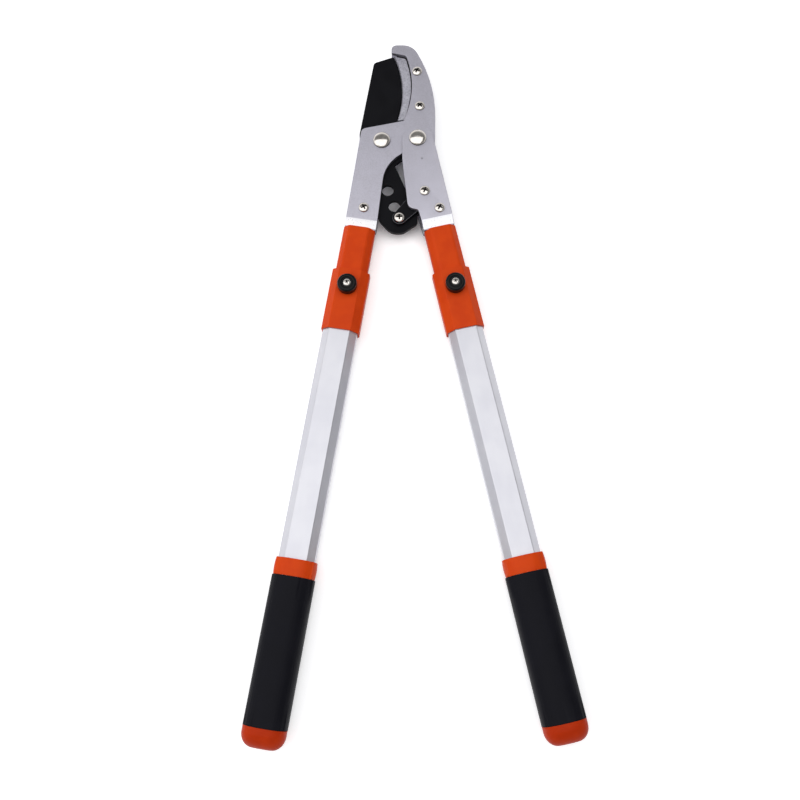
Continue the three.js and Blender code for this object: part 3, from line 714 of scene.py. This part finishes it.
def makeFloor():
    shape = bmesh.new()
    bmesh.ops.create_grid(shape, x_segments=1, y_segments=1, size=paper["size"] / 2)
    data = bpy.data.meshes.new("floor")
    shape.to_mesh(data)
    shape.free()
    floor = bpy.data.objects.new("floor", data)
    bpy.context.scene.collection.objects.link(floor)
    material, tree, shader = startMaterial("matt white paper", paper)
    path = addNode(tree, "ShaderNodeLightPath")
    seen = addNode(tree, "ShaderNodeMath", {"operation": "MAXIMUM"})
    tree.links.new(path.outputs["Is Camera Ray"], seen.inputs[0])
    tree.links.new(path.outputs["Is Glossy Ray"], seen.inputs[1])
    # the paper's own glow stops in the gaps right under the tool, so shade shows through its holes
    room = addNode(tree, "ShaderNodeAmbientOcclusion", {"samples": 8, "Distance": paper["gapDepth"]})
    low, high = paper["gapShade"]
    easing = {"interpolation_type": "SMOOTHSTEP", "From Min": low, "From Max": high,
              "To Min": 0.0, "To Max": paper["glow"]}
    free = addNode(tree, "ShaderNodeMapRange", easing, {"Value": room.outputs["AO"]})
    # far off, where less of the lamp reaches it, the paper is kept as pale by a stronger glow
    place = addNode(tree, "ShaderNodeTexCoord").outputs["Object"]
    reach = addNode(tree, "ShaderNodeVectorMath", {"operation": "LENGTH"}, {"Vector": place})
    start, end = paper["farFrom"]
    rising = {"From Min": start, "From Max": end, "To Min": 0.0, "To Max": paper["farGlow"]}
    far = addNode(tree, "ShaderNodeMapRange", rising, {"Value": reach.outputs["Value"]})
    total = addNode(tree, "ShaderNodeMath", {"operation": "ADD"})
    tree.links.new(free.outputs["Result"], total.inputs[0])
    tree.links.new(far.outputs["Result"], total.inputs[1])
    glow = addNode(tree, "ShaderNodeMath", {"operation": "MULTIPLY"})
    tree.links.new(seen.outputs["Value"], glow.inputs[0])
    tree.links.new(total.outputs["Value"], glow.inputs[1])
    shader.inputs["Emission Color"].default_value = (1, 1, 1, 1)
    tree.links.new(glow.outputs["Value"], shader.inputs["Emission Strength"])
    data.materials.append(material)


def makeWorld():
    # pale walls, lightest at the far left, under a dark ceiling, which the bright metal mirrors as a band
    world = bpy.data.worlds.new("studio")
    world.use_nodes = True
    bpy.context.scene.world = world
    tree = world.node_tree
    direction = addNode(tree, "ShaderNodeTexCoord").outputs["Generated"]
    parts = addNode(tree, "ShaderNodeSeparateXYZ", links={"Vector": direction}).outputs
    facing = addNode(tree, "ShaderNodeVectorMath", {"operation": "DOT_PRODUCT"})
    tree.links.new(direction, facing.inputs[0])
    facing.inputs[1].default_value = studio["brightWall"]
    darkest, lightest = studio["wallLevels"]
    turning = {"From Min": -1.0, "To Min": darkest, "To Max": lightest}
    walls = addNode(tree, "ShaderNodeMapRange", turning, {"Value": facing.outputs["Value"]})
    start, end = studio["ceilingFrom"]
    rising = {"interpolation_type": "SMOOTHSTEP", "From Min": start, "From Max": end,
              "To Max": studio["ceiling"]}
    sources = {"Value": parts["Z"], "To Min": walls.outputs["Result"]}
    level = addNode(tree, "ShaderNodeMapRange", rising, sources)
    # straight through the lens the walls are plain white
    path = addNode(tree, "ShaderNodeLightPath")
    seen = addNode(tree, "ShaderNodeMath", {"operation": "MAXIMUM"})
    tree.links.new(path.outputs["Is Camera Ray"], seen.inputs[0])
    tree.links.new(path.outputs["Is Transmission Ray"], seen.inputs[1])
    strength = addNode(tree, "ShaderNodeMapRange", {"To Max": 1.0},
                       {"Value": seen.outputs["Value"], "To Min": level.outputs["Result"]})
    tree.nodes["Background"].inputs["Color"].default_value = (1, 1, 1, 1)
    tree.links.new(strength.outputs["Result"], tree.nodes["Background"].inputs["Strength"])


def makeLamp():
    data = bpy.data.lights.new("softbox", "AREA")
    data.shape = "RECTANGLE"
    data.size, data.size_y = softbox["size"]
    data.energy = softbox["power"]
    lamp = bpy.data.objects.new("softbox", data)
    lamp.location = softbox["place"]
    bpy.context.scene.collection.objects.link(lamp)


def makeCamera():
    low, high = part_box("blade_bolt")
    middle = (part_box("blade")[0].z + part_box("blade")[1].z) / 2
    data = bpy.data.cameras.new("camera")
    data.lens = lens["focal"]
    data.sensor_width = lens["sensor"]
    data.clip_end = lens["far"]
    camera = bpy.data.objects.new("camera", data)
    target = Vector(((low.x + high.x) / 2, (low.y + high.y) / 2, middle))
    camera.location = target + Vector(lens["place"])
    camera.rotation_euler = [math.radians(a) for a in lens["turn"]]
    bpy.context.scene.collection.objects.link(camera)
    bpy.context.scene.camera = camera


makeFloor()
makeWorld()
makeLamp()
makeCamera()
bpy.context.scene.view_settings.view_transform = "Standard"
print("stage set")
